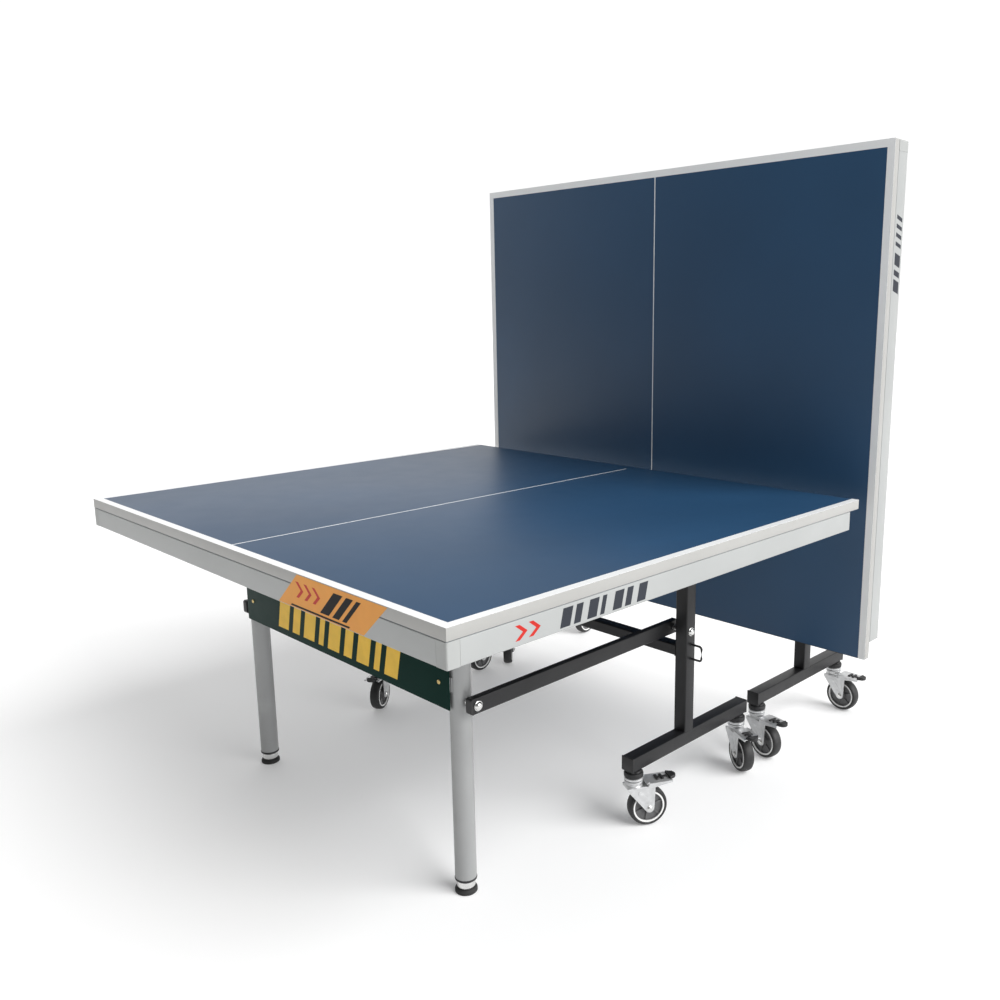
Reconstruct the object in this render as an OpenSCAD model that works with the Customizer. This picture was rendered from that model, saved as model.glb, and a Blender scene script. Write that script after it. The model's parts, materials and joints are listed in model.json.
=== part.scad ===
// Folding table-tennis table in two halves, each on its own wheeled trolley.
// Millimetres. +X runs along the table from the near half to the far half, +Y across, +Z up.
// The near half stands open for play; the far half is folded upright and rolled up close.
// Every half is drawn in its own frame: net plane at x = 0, end edge at x = -half_len.

/* [Tops] */
// Length of one half, end edge to net edge
half_len = 1370; // [1200:10:1400]
// Width of the playing surface
top_w = 1525; // [1300:5:1600]
// Height of the playing surface above the floor
play_h = 760; // [650:5:800]
// Thickness of the playing board below the lines
board_t = 25; // [15:1:30]
// Width of the white side and end lines
side_line_w = 20; // [10:1:30]
// Width of the centre line
centre_line_w = 3; // [2:0.5:6]
// Depth of the painted lines, flush with the board
line_t = 0.3; // [0.2:0.1:1]
// Depth of the steel apron below the board
apron_h = 48; // [30:1:60]
// Thickness of the steel apron
apron_t = 22; // [15:1:40]
// How far the apron stops short of the net edge
apron_stop = 48; // [20:1:80]
// Length of each plastic corner cap
corner_l = 28; // [20:1:60]

/* [Trolley] */
// Side of the square trolley tube
tube = 36; // [25:1:50]
// Wall of the trolley tube
tube_wall = 2; // [1.5:0.5:3]
// Distance from the centre line to a side frame's centre
frame_y = 527; // [450:1:620]
// End of the floor beam away from the net
beam_out = 640; // [500:1:800]
// End of the floor beam towards the net
beam_in = 166; // [120:1:300]
// Underside of the floor beam above the floor
beam_z = 152; // [100:1:180]
// Centre of the upright, measured from the net plane
post_x = 424; // [350:1:550]
// Height of the cross tube's underside
cross_z = 387; // [250:1:550]
// Height of the cross tube's section
cross_h = 28; // [20:1:40]

/* [Linkage] */
// Top pivot, measured from the net plane
pivot_x = 406; // [350:1:500]
// Top pivot height
pivot_z = 700; // [680:1:740]
// Lower link pivot on the upright, height
link_rear_z = 455; // [380:1:560]
// Lower link pivot on the leg, height
link_front_z = 451; // [380:1:560]
// Centre of the link from the centre line
link_y = 481; // [460:1:520]
// Height of the link's section
link_h = 36; // [25:1:45]
// Thickness of the link's section
link_t = 18; // [12:1:25]
// Radius of the top and leg pivot pins
pin_r = 6; // [4:0.5:8]
// Radius of the link bolts
bolt_r = 5; // [4:0.5:8]
// Radial running clearance of every pivot
run = 0.08; // [0.05:0.01:0.1]

/* [Legs] */
// Leg centre, measured from the net plane
leg_x = 1080; // [900:5:1250]
// Leg centre from the centre line
leg_y = 433; // [350:1:600]
// Leg tube diameter
leg_d = 48; // [38:1:60]
// Leg tube wall
leg_wall = 1.5; // [1:0.1:3]
// Underside of the banner plate
banner_z = 432; // [350:1:500]
// Height of the banner plate
banner_h = 112; // [80:1:160]
// Length of the banner plate
banner_l = 870; // [700:1:900]
// Travel of a levelling foot
foot_travel = 12; // [5:1:20]

/* [Casters] */
// Wheel diameter
wheel_d = 100; // [60:1:110]
// Wheel width
wheel_w = 30; // [18:1:34]
// Offset of the axle behind the swivel axis
trail = 36; // [20:1:45]

/* [Stance] */
// How far the folded half has rolled towards the near half
roll_in = 262; // [240:1:340]
// Shift that centres the whole table on the origin
centre_x = 491.75; // [400:0.25:600]

/* [Hidden] */

$fn = 48;
white = [0.86, 0.87, 0.87];
black = [0.06, 0.06, 0.065];
zinc = [0.72, 0.73, 0.74];
silver = [0.66, 0.68, 0.69];
blue = [0.05, 0.13, 0.22];

board_z = play_h - line_t - board_t;      // underside of the board
apron_z = board_z - apron_h;
post_top = 678;
lug_t = 8;
lug_r = 11;
seam = 0.3;                               // weld and cap seams inside one frame
leg_pivot_x = leg_x - (post_x - pivot_x); // keeps the linkage a parallelogram
leg_pivot_z = pivot_z - (link_rear_z - link_front_z);
leg_top = leg_pivot_z - 22;
leg_foot_z = 36;                          // lower end of the leg tube
fold_x = leg_pivot_x - pivot_x;           // leg pivot from the top pivot, open
fold_z = pivot_z - leg_pivot_z;
caster_x = [beam_out - 17, beam_in + 17];
wheel_r = wheel_d / 2;
race_z = wheel_d + 24;                    // underside of the fixed race
race_h = 9;

// ---- placing ----
module near() translate([centre_x, 0, 0]) children();
module far() translate([centre_x, 0, 0]) rotate([0, 0, 180]) translate([roll_in, 0, 0]) children();
// carries a top from open to upright
module folded_top() translate([-pivot_x, 0, pivot_z]) rotate([0, 90, 0])
  translate([pivot_x, 0, -pivot_z]) children();
// carries the legs, which stay plumb
module folded_legs() translate([fold_x - fold_z, 0, fold_x + fold_z]) children();
// carries a link
module folded_link() translate([-post_x, 0, link_rear_z]) rotate([0, 90, 0])
  translate([post_x, 0, -link_rear_z]) children();

// ---- shapes ----
module box(x0, x1, y0, y1, z0, z1) translate([x0, y0, z0]) cube([x1 - x0, y1 - y0, z1 - z0]);
// round bar along Y, centred at y
module bar_y(x, y, z, r, l) translate([x, y, z]) rotate([90, 0, 0])
  cylinder(r = r, h = l, center = true);
module bar_x(x, y, z, r, l) translate([x, y, z]) rotate([0, 90, 0])
  cylinder(r = r, h = l, center = true);
module bolt_head(x, y, z, s) translate([x, y, z]) rotate([-90 * s, 0, 0]) {
  cylinder(r = 10, h = 1.6);
  translate([0, 0, 1.6]) cylinder(r = 8, h = 5, $fn = 6);
}

// pivot lug standing on a head at z0, its bore at (x, z); its back edge is at x0
module lug(x0, x, y, z0, z) difference() {
  union() {
    box(x0, x + 4, y - lug_t / 2, y + lug_t / 2, z0, z);
    bar_y(x, y, z, lug_r, lug_t);
  }
  bar_y(x, y, z, pin_r + run, lug_t + 2);
}
// two plates that hang from the board on either side of a lug, with their pin
module clevis(x, y, z) {
  for (t = [-1, 1]) {
    yc = y + t * (lug_t / 2 + 2.5);
    y1 = yc + t * 2;
    box(x - 16, x + 16, yc - 2, yc + 2, z, board_z);
    bar_y(x, yc, z, 12, 4);
    box(x - 16, x + 16, min(y1, y1 + t * 18), max(y1, y1 + t * 18), board_z - 3, board_z);
  }
  bar_y(x, y, z, pin_r, lug_t + 16);
}

// ---- trolley ----
module side_frame(s) color(black) {
  y = s * frame_y;
  h = tube / 2;
  w = tube_wall;
  c = 4 + seam;
  // floor beam and its moulded end caps
  difference() {
    box(-beam_out + c, -beam_in - c, y - h, y + h, beam_z, beam_z + tube);
    box(-beam_out, -beam_in, y - h + w, y + h - w, beam_z + w, beam_z + tube - w);
  }
  for (x = [-beam_out, -beam_in - 4])
    box(x, x + 4, y - h - 0.8, y + h + 0.8, beam_z - 0.8, beam_z + tube + 0.8);
  // threaded collars for the caster stems
  for (x = caster_x) translate([-x, y, race_z + race_h]) difference() {
    union() {
      cylinder(r = 24, h = 12);
      cylinder(r = 19, h = beam_z - race_z - race_h - seam);
    }
    translate([0, 0, -1]) cylinder(r = 7, h = beam_z);
  }
  // upright, its closing plate and the pivot lug
  difference() {
    box(-post_x - h, -post_x + h, y - h, y + h, beam_z + tube + seam, post_top - 3 - seam);
    box(-post_x - h + w, -post_x + h - w, y - h + w, y + h - w, beam_z, post_top);
    bar_y(-post_x, y, link_rear_z, bolt_r + 0.05, tube + 2);
  }
  box(-post_x - h, -post_x + h, y - h, y + h, post_top - 3, post_top);
  lug(-post_x - 8, -pivot_x, y, post_top, pivot_z);
}

module crossbar() color(black) difference() {
  x = -post_x;
  box(x - 17, x + 17, -frame_y + tube / 2, frame_y - tube / 2, cross_z, cross_z + cross_h);
  box(x - 15, x + 15, -frame_y, frame_y, cross_z + 2, cross_z + cross_h - 2);
}

// link bolts with their sleeves and heads, fixed caster races and stems
module trolley_fittings() color(zinc) for (s = [-1, 1]) {
  inner = frame_y - tube / 2;
  outer = frame_y + tube / 2;
  link_out = link_y + link_t / 2 + 0.4;
  link_in = link_y - link_t / 2 - 0.6;
  bar_y(-post_x, s * (link_in + outer) / 2, link_rear_z, bolt_r, outer - link_in);
  bar_y(-post_x, s * (link_out + inner) / 2, link_rear_z, 9, inner - link_out);
  bolt_head(-post_x, s * outer, link_rear_z, s);
  bolt_head(-post_x, s * link_in, link_rear_z, -s);
  for (x = caster_x) translate([-x, s * frame_y, race_z]) {
    cylinder(r = 23, h = race_h);
    translate([0, 0, race_h]) cylinder(r = 6.9, h = beam_z - race_z - race_h);
  }
}

// bent-wire loops on the outer faces of the uprights
loop_r = 2.75;
loop_z = [384, 422];
loop_out = 33;
module storage_loops() color(black) for (s = [-1, 1]) {
  y0 = s * (frame_y + tube / 2);
  y1 = y0 + s * loop_out;
  for (z = loop_z) {
    bar_y(-post_x, (y0 + y1) / 2, z, loop_r, loop_out);
    translate([-post_x, y1, z]) sphere(r = loop_r);
  }
  translate([-post_x, y1, loop_z[0]]) cylinder(r = loop_r, h = loop_z[1] - loop_z[0]);
}

// ---- top ----
module board() color(blue) difference() {
  box(-half_len, 0, -top_w / 2, top_w / 2, board_z, play_h);
  strips(1);
}

module lines() color([0.95, 0.95, 0.95]) strips(0);

// side, end and centre lines; e carries them past the board's edges and face
module strips(e) {
  z0 = play_h - line_t;
  w = side_line_w;
  for (s = [-1, 1]) translate([0, s * top_w / 2, 0])
    box(-half_len - e, e, s > 0 ? -w : -e, s > 0 ? e : w, z0, play_h + e);
  box(-half_len - e, -half_len + w, -top_w / 2 + w, top_w / 2 - w, z0, play_h + e);
  box(-half_len + w, -45, -centre_line_w / 2, centre_line_w / 2, z0, play_h + e);
}

// steel tube rails under the two sides and the end, between the corner caps
module apron() color(white) {
  w = 1.5;
  for (s = [-1, 1]) difference() {
    y0 = s > 0 ? top_w / 2 - apron_t : -top_w / 2;
    box(-half_len + corner_l, -apron_stop, y0, y0 + apron_t, apron_z, board_z);
    box(-half_len, 0, y0 + w, y0 + apron_t - w, apron_z + w, board_z - w);
  }
  difference() {
    box(-half_len, -half_len + apron_t, -top_w / 2 + corner_l, top_w / 2 - corner_l, apron_z, board_z);
    box(-half_len + w, -half_len + apron_t - w, -top_w, top_w, apron_z + w, board_z - w);
  }
}

module corner_caps() color(white) for (s = [-1, 1]) {
  x0 = -half_len;
  y = s * top_w / 2;
  box(x0, x0 + apron_t, s > 0 ? y - corner_l : y, s > 0 ? y : y + corner_l, apron_z, board_z);
  box(x0 + apron_t, x0 + corner_l, s > 0 ? y - apron_t : y, s > 0 ? y : y + apron_t, apron_z, board_z);
  // plugs in the net ends of the side rails
  box(-apron_stop, -apron_stop + 2.5, s > 0 ? y - apron_t : y, s > 0 ? y : y + apron_t, apron_z, board_z);
}

// square-tube ladder under the board: rails along it between three that cross to the apron
rail_y = 300;
rail = 25;
rail_wall = 1.5;
cross_x = [1230, 620, 72];
module underframe() color(black) {
  w = rail_wall;
  z0 = board_z - rail;
  for (s = [-1, 1], i = [0, 1]) difference() {
    y = s * rail_y;
    x0 = -cross_x[i] + rail + seam;
    x1 = -cross_x[i + 1] - seam;
    box(x0, x1, y - rail / 2, y + rail / 2, z0, board_z);
    box(x0 - 1, x1 + 1, y - rail / 2 + w, y + rail / 2 - w, z0 + w, board_z - w);
  }
  for (x = cross_x) difference() {
    box(-x, -x + rail, -top_w / 2 + apron_t, top_w / 2 - apron_t, z0, board_z);
    box(-x + w, -x + rail - w, -top_w, top_w, z0 + w, board_z - w);
  }
}

// clevises under the board for the two pivots on each side
module brackets() color(black) for (s = [-1, 1]) {
  clevis(-pivot_x, s * frame_y, pivot_z);
  clevis(-leg_pivot_x, s * leg_y, leg_pivot_z);
}

// ---- legs ----
module legs() color(silver) for (s = [-1, 1]) {
  y = s * leg_y;
  difference() {
    translate([-leg_x, y, leg_foot_z]) cylinder(r = leg_d / 2, h = leg_top - leg_foot_z);
    translate([-leg_x, y, leg_foot_z - 1]) cylinder(r = leg_d / 2 - leg_wall, h = leg_top - 2 - leg_foot_z);
    bar_y(-leg_x, y, link_front_z, bolt_r + 0.05, leg_d + 2);
  }
  lug(-leg_x - 10, -leg_pivot_x, y, leg_top, leg_pivot_z);
}

// plate across the fronts of the two legs
banner_x = leg_x + leg_d / 2 + 8;
banner_t = 3;
screw_y = banner_l / 2 - 33;
screw_z = banner_z + banner_h / 2;
module banner() color([0.04, 0.13, 0.1]) difference() {
  box(-banner_x, -banner_x + banner_t, -banner_l / 2, banner_l / 2, banner_z, banner_z + banner_h);
  for (s = [-1, 1]) bar_x(-banner_x, s * screw_y, screw_z, 3.1, 10);
}

// leg plugs and rings, link bolts with sleeves, banner tabs and screws
module leg_fittings() color(zinc) for (s = [-1, 1]) {
  y = s * leg_y;
  // threaded plug and ring closing the leg
  translate([-leg_x, y, leg_foot_z]) difference() {
    union() {
      translate([0, 0, -6]) cylinder(r = leg_d / 2 + 1, h = 6);
      cylinder(r = leg_d / 2 - leg_wall - 0.1, h = 20);
    }
    translate([0, 0, -20]) cylinder(r = bolt_r + run, h = 60);
  }
  // link bolt
  inner = leg_y - leg_d / 2;
  outer = leg_y + leg_d / 2;
  link_in = link_y - link_t / 2 - 0.4;
  link_out = link_y + link_t / 2 + 0.6;
  bar_y(-leg_x, s * (inner + link_out) / 2, link_front_z, bolt_r, link_out - inner);
  bar_y(-leg_x, s * (outer + link_in) / 2, link_front_z, 9, link_in - outer);
  bolt_head(-leg_x, s * link_out, link_front_z, s);
  bolt_head(-leg_x, s * inner, link_front_z, -s);
  // tab across the front of the leg, its web and the banner screw
  x = -banner_x + banner_t;
  difference() {
    union() {
      box(x, x + 4, s > 0 ? y - 44 : y - 1, s > 0 ? y + 1 : y + 44, screw_z - 16, screw_z + 16);
      box(x, -leg_x - 8, y - 4, y + 4, screw_z - 16, screw_z + 16);
    }
    translate([-leg_x, y, screw_z - 20]) cylinder(r = leg_d / 2 + 0.02, h = 40);
  }
  bar_x(x, s * screw_y, screw_z, 3, 12);
  bar_x(-banner_x - 1.2, s * screw_y, screw_z, 6.5, 2.4);
}

// flat tube with rounded moulded ends, bored for its two bolts
module link(s) color(black) {
  y = s * link_y;
  a = atan2(link_rear_z - link_front_z, leg_x - post_x);
  l = norm([leg_x - post_x, link_rear_z - link_front_z]);
  translate([-leg_x, y, link_front_z]) rotate([0, -a, 0]) difference() {
    union() {
      box(-12, l + 12, -link_t / 2, link_t / 2, -link_h / 2, link_h / 2);
      for (x = [-18, l + 12]) box(x, x + 6, -link_t / 2, link_t / 2, -link_h / 2 + 6, link_h / 2 - 6);
      for (x = [-12, l + 12], z = [-1, 1]) bar_y(x, 0, z * (link_h / 2 - 6), 6, link_t);
    }
    for (x = [0, l]) bar_y(x, 0, 0, bolt_r + run, link_t + 2);
    box(12, l - 12, -link_t / 2 + 1.8, link_t / 2 - 1.8, -link_h / 2 + 1.8, link_h / 2 - 1.8);
  }
}

// levelling foot: rubber base, adjusting collar and threaded stem
module foot(s) color(black) translate([-leg_x, s * leg_y, 0]) {
  cylinder(r = 25, h = 8);
  translate([0, 0, 8]) cylinder(r1 = 25, r2 = 22, h = 3);
  translate([0, 0, 11]) cylinder(r = 21, h = 18.5);
  translate([0, 0, 29.5]) cylinder(r = bolt_r, h = foot_travel + 14.5);
}

// ---- casters ----
// Casters 1-4 carry the near half, 5-8 the far half; in each four the first two sit at the
// half's own -Y side and the odd ones at its outer end.
// Headings of the trails, in the half's own frame
heading = [-29, -118, -148, -175, 5, 45, 89, 80];
module caster_at(k) {
  q = (k - 1) % 4;
  s = q < 2 ? -1 : 1;
  x = -caster_x[q % 2];
  if (k <= 4) near() translate([x, s * frame_y, 0]) rotate([0, 0, heading[k - 1]]) children();
  else far() translate([x, s * frame_y, 0]) rotate([0, 0, heading[k - 1]]) children();
}

// swivelling fork: raceway, crown, two cheeks with ears for the pedal, and the axle
crown_z = wheel_d + 4;
hub_w = wheel_w / 2 + 3;                  // half the length of the hub
cheek_y = hub_w + 1.75;                   // centre of a 2.5 mm cheek
pedal_x = trail + 2;
pedal_z = crown_z + 8;
pedal_pin = 3;
pedal_reach = 110;
module fork() color(zinc) {
  translate([0, 0, race_z - 9]) cylinder(r = 22, h = 8.5);
  translate([0, 0, crown_z + 4]) cylinder(r = 20, h = race_z - 9 - crown_z - 4);
  box(-18, trail + 4, -cheek_y - 1.25, cheek_y + 1.25, crown_z, crown_z + 4);
  for (s = [-1, 1]) {
    y = s * cheek_y;
    difference() {
      union() {
        box(-16, trail + 4, y - 1.25, y + 1.25, wheel_r + 14, crown_z);
        box(trail - 24, trail + 14, y - 1.25, y + 1.25, wheel_r, wheel_r + 14);
        bar_y(trail, y, wheel_r, 14, 2.5);
        box(pedal_x - 6, pedal_x + 6, y - 1.25, y + 1.25, crown_z - 8, pedal_z + 6);
      }
      bar_y(pedal_x, y, pedal_z, pedal_pin + run, 6);
    }
    bar_y(trail, s * (cheek_y + 3.75), wheel_r, 8, 5);
  }
  bar_y(trail, 0, wheel_r, 4, 2 * cheek_y);
}

// wheel: tyre with shoulders, pale band, web and hub
module wheel() color(black) translate([trail, 0, wheel_r]) rotate([90, 0, 0]) {
  w = wheel_w / 2;
  rotate_extrude($fn = 96) {
    translate([wheel_r - 3, -w + 3]) square([3, wheel_w - 6]);
    translate([wheel_r - 9, -w]) square([6, wheel_w]);
    translate([wheel_r - 15, -w + 1]) square([6, wheel_w - 2]);
    translate([14, -5]) square([wheel_r - 29, 10]);
    translate([4 + run, -hub_w]) square([10 - run, 2 * hub_w]);
  }
}

// brake pedal: tread with a raised lip, side arms and its pivot pin
module pedal() color(black) {
  z = pedal_z + 3;
  arm = cheek_y + 1.85;                   // inner face of a side arm, clear of the cheek
  box(pedal_x + 8, pedal_reach, -18, 18, z, z + 3);
  box(pedal_reach - 14, pedal_reach, -18, 18, z + 3, z + 8);
  for (s = [-1, 1]) {
    box(pedal_x - 6, pedal_x + 32, s > 0 ? arm : -arm - 3, s > 0 ? arm + 3 : -arm, pedal_z - 6, z + 3);
    box(pedal_x + 8, pedal_x + 32, s > 0 ? 18 : -arm, s > 0 ? arm : -18, z, z + 3);
  }
  bar_y(pedal_x, 0, pedal_z, pedal_pin, 2 * arm + 3);
}

near() side_frame(-1);  // near_frame_left
near() side_frame(1);  // near_frame_right
near() crossbar();  // near_crossbar
near() trolley_fittings();  // near_fittings
near() storage_loops();  // near_loops
near() board();  // near_board
near() lines();  // near_lines
near() apron();  // near_apron
near() corner_caps();  // near_corner_caps
near() underframe();  // near_underframe
near() brackets();  // near_brackets
near() legs();  // near_legs
near() banner();  // near_banner
near() leg_fittings();  // near_leg_fittings
near() link(-1);  // near_link_left
near() link(1);  // near_link_right
near() foot(-1);  // near_foot_left
near() foot(1);  // near_foot_right
far() side_frame(-1);  // far_frame_left
far() side_frame(1);  // far_frame_right
far() crossbar();  // far_crossbar
far() trolley_fittings();  // far_fittings
far() storage_loops();  // far_loops
far() folded_top() board();  // far_board
far() folded_top() lines();  // far_lines
far() folded_top() apron();  // far_apron
far() folded_top() corner_caps();  // far_corner_caps
far() folded_top() underframe();  // far_underframe
far() folded_top() brackets();  // far_brackets
far() folded_legs() legs();  // far_legs
far() folded_legs() banner();  // far_banner
far() folded_legs() leg_fittings();  // far_leg_fittings
far() folded_link() link(-1);  // far_link_left
far() folded_link() link(1);  // far_link_right
far() folded_legs() foot(-1);  // far_foot_left
far() folded_legs() foot(1);  // far_foot_right
caster_at(1) fork();  // fork_1
caster_at(1) wheel();  // wheel_1
caster_at(1) pedal();  // pedal_1
caster_at(2) fork();  // fork_2
caster_at(2) wheel();  // wheel_2
caster_at(2) pedal();  // pedal_2
caster_at(3) fork();  // fork_3
caster_at(3) wheel();  // wheel_3
caster_at(3) pedal();  // pedal_3
caster_at(4) fork();  // fork_4
caster_at(4) wheel();  // wheel_4
caster_at(4) pedal();  // pedal_4
caster_at(5) fork();  // fork_5
caster_at(5) wheel();  // wheel_5
caster_at(5) pedal();  // pedal_5
caster_at(6) fork();  // fork_6
caster_at(6) wheel();  // wheel_6
caster_at(6) pedal();  // pedal_6
caster_at(7) fork();  // fork_7
caster_at(7) wheel();  // wheel_7
caster_at(7) pedal();  // pedal_7
caster_at(8) fork();  // fork_8
caster_at(8) wheel();  // wheel_8
caster_at(8) pedal();  // pedal_8
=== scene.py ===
"""Looks of the folding table-tennis table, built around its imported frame. Metres."""

import json
import math

import bmesh
import bpy
from mathutils import Matrix, Vector


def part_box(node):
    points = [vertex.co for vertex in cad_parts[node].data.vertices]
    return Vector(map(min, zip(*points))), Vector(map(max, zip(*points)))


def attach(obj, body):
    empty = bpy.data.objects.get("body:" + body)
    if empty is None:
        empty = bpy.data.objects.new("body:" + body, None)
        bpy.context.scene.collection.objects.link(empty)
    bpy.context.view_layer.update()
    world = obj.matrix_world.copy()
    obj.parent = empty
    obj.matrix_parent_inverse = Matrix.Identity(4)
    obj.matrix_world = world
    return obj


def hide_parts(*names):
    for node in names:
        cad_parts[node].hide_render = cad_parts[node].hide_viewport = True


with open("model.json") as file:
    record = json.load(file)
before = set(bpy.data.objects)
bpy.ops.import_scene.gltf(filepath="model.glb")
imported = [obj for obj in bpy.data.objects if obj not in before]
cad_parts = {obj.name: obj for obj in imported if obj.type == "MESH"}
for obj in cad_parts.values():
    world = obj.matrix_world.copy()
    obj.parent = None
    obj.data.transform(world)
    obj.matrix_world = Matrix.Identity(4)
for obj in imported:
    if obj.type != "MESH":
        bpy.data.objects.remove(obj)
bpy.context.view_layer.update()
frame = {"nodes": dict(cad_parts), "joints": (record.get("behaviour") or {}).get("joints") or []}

# ---- sizes, read from the frame; a half's own frame has its net plane at x = 0, its end at x = -L ----
JOINT = {j["name"]: Vector(j.get("pos_m") or (0, 0, 0)) for j in frame["joints"]}
low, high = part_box("near_board")
CENTRE, L, W2 = high.x, high.x - low.x, high.y
BOARD_Z = low.z
TOP = high.z - 0.0003  # the paint lies this far under the CAD face, which is level with the white lines
APRON_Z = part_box("near_apron")[0].z
APRON_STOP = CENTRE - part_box("near_apron")[1].x
APRON_T, CORNER = 0.022, 0.028
INSET = 0.0006  # the edge bands stand this far inside the half's edge, so that prints over them fit in

low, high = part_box("near_crossbar")
CROSS_Z, CROSS_HALF = (low.z, high.z), (high.x - low.x) / 2
low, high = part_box("near_loops")
LOOP_R = 0.00275
LOOP_Z = (low.z + LOOP_R, high.z - LOOP_R)
low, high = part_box("near_frame_left")
TUBE = 0.036
POST_X = JOINT["near_link_left_swing"].x - CENTRE
FRAME_Y = -(low.y + high.y) / 2
BEAM = (low.x - CENTRE, high.x - CENTRE)
BEAM_Z = JOINT["caster_1_swivel"].z + 0.052
POST_TOP = 0.678


def pivot(joint):
    """A joint's (x, z) in the near half's own frame."""
    return JOINT[joint].x - CENTRE, JOINT[joint].z


PIVOT, LEG_PIVOT = pivot("near_top_tilt"), pivot("near_leg_hang")
LINK_REAR = pivot("near_link_left_swing")
LINK_FRONT = (LEG_PIVOT[0] + LINK_REAR[0] - PIVOT[0], LEG_PIVOT[1] + LINK_REAR[1] - PIVOT[1])
LINK_Y, LINK_H, LINK_T = abs(JOINT["near_link_left_swing"].y), 0.036, 0.018
low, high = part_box("near_foot_left")
LEG_X, LEG_Y = (low.x + high.x) / 2 - CENTRE, -(low.y + high.y) / 2
LEG_R, LEG_TOP, LEG_FOOT = 0.024, 0.674, 0.036
low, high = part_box("near_banner")
BANNER = (low.x - CENTRE, high.x - CENTRE, high.y, low.z, high.z)
SCREW_Y, SCREW_Z = BANNER[2] - 0.033, (BANNER[3] + BANNER[4]) / 2
ROLL = CENTRE - JOINT["far_top_unfold"].x - PIVOT[0]
FOLD = PIVOT[0] - LEG_PIVOT[0], PIVOT[1] - LEG_PIVOT[1]

low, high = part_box("wheel_1")
WHEEL_R, WHEEL_W = (high.z - low.z) / 2, 0.030
TRAIL = (JOINT["caster_1_roll"] - JOINT["caster_1_swivel"]).to_2d().length
RACE_Z = 2 * WHEEL_R + 0.024
CASTER_X = [JOINT[f"caster_{k}_swivel"].x - CENTRE for k in (1, 2)]

T = Matrix.Translation


def turn(degrees, axis):
    return Matrix.Rotation(math.radians(degrees), 4, axis)


def about_y(degrees, x, z):
    """Turn about the line along Y through (x, z)."""
    return T((x, 0, z)) @ turn(degrees, "Y") @ T((-x, 0, -z))


NEAR = T((CENTRE, 0, 0))
FAR = NEAR @ turn(180, "Z") @ T((ROLL, 0, 0))
# the legs stay plumb as the top folds, so they only shift
FAR_LEGS = FAR @ T((FOLD[0] - FOLD[1], 0, FOLD[0] + FOLD[1]))
PLACE = {
    ("near", "trolley"): NEAR,
    ("near", "top"): NEAR,
    ("near", "leg_frame"): NEAR,
    ("near", "foot"): NEAR,
    ("near", "link"): NEAR,
    ("far", "trolley"): FAR,
    ("far", "top"): FAR @ about_y(90, *PIVOT),
    ("far", "leg_frame"): FAR_LEGS,
    ("far", "foot"): FAR_LEGS,
    ("far", "link"): FAR @ about_y(90, *LINK_REAR),
}


# ---- materials ----
def scaled(colour, k):
    """The colour k times as bright, with its alpha."""
    return (*(min(1.0, c * k) for c in colour), 1.0)


def surface(
    name,
    colour,
    rough,
    metal=0.0,
    spread=0.06,
    blotch=5.0,
    grain=420.0,
    bump=0.08,
    rough_spread=0.05,
    gloss=0.5,
    glow=0.0,
    wear=0.0,
):
    """Procedural finish: slow colour drift with paler scuffs, fine grain in the bump, uneven roughness.

    The colour drifts by spread either way, in patches of scale blotch, and wear brightens the scuffs.
    """
    mat = bpy.data.materials.new(name)
    mat.use_nodes = True
    tree = mat.node_tree
    shader = tree.nodes["Principled BSDF"]
    shader.inputs["Metallic"].default_value = metal
    shader.inputs["Specular IOR Level"].default_value = gloss
    shader.inputs["Emission Color"].default_value = scaled(colour, 1)
    shader.inputs["Emission Strength"].default_value = glow
    new, link = tree.nodes.new, tree.links.new
    coords = new("ShaderNodeTexCoord")

    def noise(size, detail):
        n = new("ShaderNodeTexNoise")
        n.inputs["Scale"].default_value = size
        n.inputs["Detail"].default_value = detail
        link(coords.outputs["Object"], n.inputs["Vector"])
        return n.outputs["Fac"]

    drift = new("ShaderNodeValToRGB")
    drift.color_ramp.elements[0].position = 0.3
    drift.color_ramp.elements[1].position = 0.7
    drift.color_ramp.elements[0].color = scaled(colour, 1 - spread)
    drift.color_ramp.elements[1].color = scaled(colour, 1 + spread)
    if wear:
        drift.color_ramp.elements[1].position = 0.62
        drift.color_ramp.elements.new(0.74).color = scaled(colour, 1 + spread + wear)
    link(noise(blotch, 6), drift.inputs["Fac"])
    link(drift.outputs["Color"], shader.inputs["Base Color"])
    uneven = new("ShaderNodeMapRange")
    uneven.inputs["To Min"].default_value = rough - rough_spread
    uneven.inputs["To Max"].default_value = rough + rough_spread
    link(noise(blotch * 6, 4), uneven.inputs["Value"])
    link(uneven.outputs["Result"], shader.inputs["Roughness"])
    if bump:
        relief = new("ShaderNodeBump")
        relief.inputs["Strength"].default_value = bump
        relief.inputs["Distance"].default_value = 0.0006
        link(noise(grain, 3), relief.inputs["Height"])
        link(relief.outputs["Normal"], shader.inputs["Normal"])
    return mat


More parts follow.
